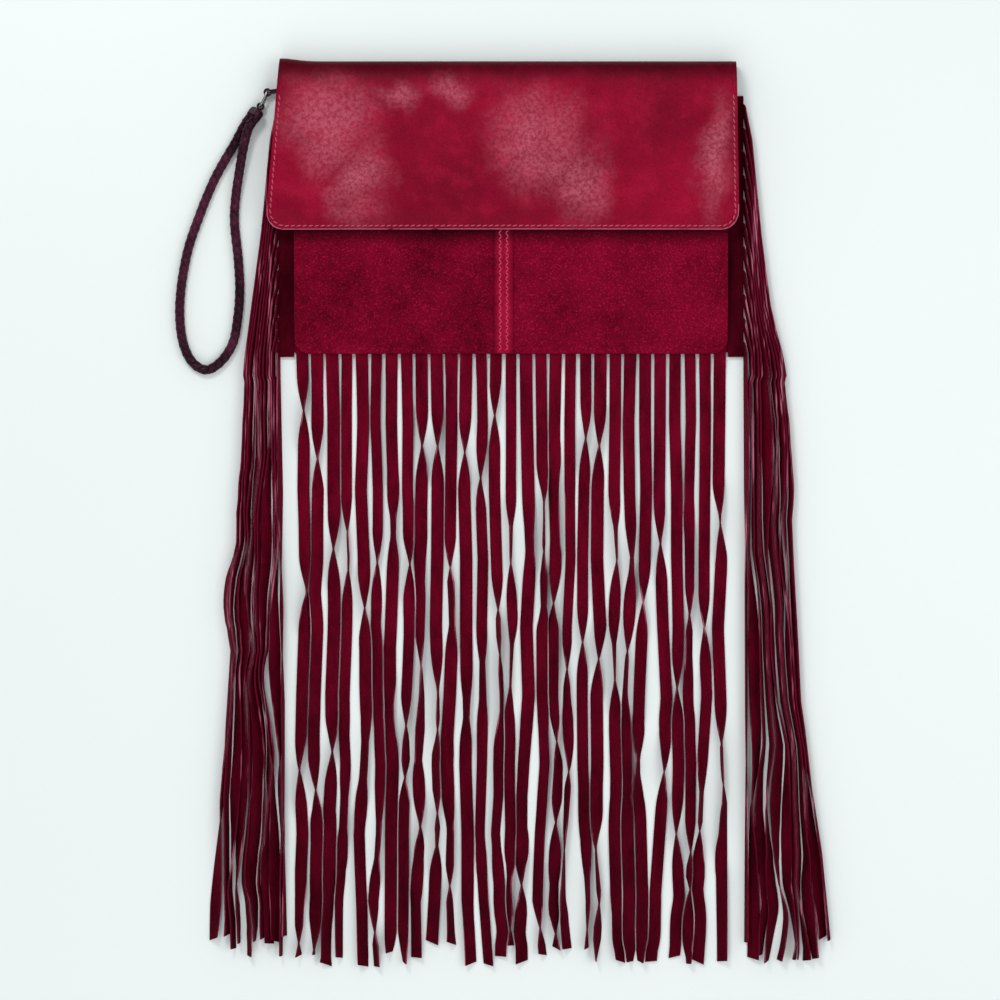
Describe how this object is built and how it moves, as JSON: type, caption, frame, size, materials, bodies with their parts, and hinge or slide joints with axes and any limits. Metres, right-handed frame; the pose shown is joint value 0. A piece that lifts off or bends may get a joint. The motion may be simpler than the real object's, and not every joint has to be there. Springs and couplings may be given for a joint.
{
  "type": "fringed suede clutch bag",
  "caption": "Flat suede clutch with a smooth leather flap, long cut fringes on the bottom and both side seams, and a braided wrist cord on a metal link",
  "frame": {"origin": "the middle of the flat outer face of the back panel, on which the bag lies", "axes": "+X to the bag's right, +Y towards the fold of the flap, +Z out of its front"},
  "size_m": [0.406, 0.5623, 0.0226],
  "materials": {
    "suede": "napped crimson suede, matt",
    "leather": "smooth crimson leather with a fine pebble grain and a soft sheen",
    "lining": "plain woven lining cloth",
    "braid": "dark aubergine leather, round braid",
    "nickel": "polished nickel plate"
  },
  "bodies": {
    "pouch": {"back_panel": "suede", "back_lining": "lining", "front_panel_left": "suede", "front_panel_right": "suede", "seam_strip": "suede", "front_lining": "lining", "left_gusset": "suede", "right_gusset": "suede", "front_fringe": "suede", "left_fringe": "suede", "right_fringe": "suede", "snap_socket": "nickel", "ring_tab": "braid"},
    "fold": {"fold": "leather"},
    "flap": {"flap": "leather", "flap_lining": "lining", "snap_stud": "nickel"},
    "strap": {"ring_link": "nickel", "strap_end": "braid", "wrist_cord": "braid"}
  },
  "joints": [
    {"name": "fold_hinge", "type": "hinge", "parent": "pouch", "child": "fold", "pos_m": [0, 0.0865, 0.0019], "axis": [-1, 0, 0], "range_deg": [0, 70]},
    {"name": "flap_hinge", "type": "hinge", "parent": "fold", "child": "flap", "pos_m": [0, 0.0865, 0.016], "axis": [-1, 0, 0], "range_deg": [0, 110]},
    {"name": "strap_swing", "type": "hinge", "parent": "pouch", "child": "strap", "pos_m": [-0.1507, 0.0694, 0.0045], "axis": [0, 0, -1], "range_deg": [0, 75]}
  ],
  "couplings": [
    {"joint": "fold_hinge", "follows": "flap_hinge", "ratio": 0.63636}
  ]
}
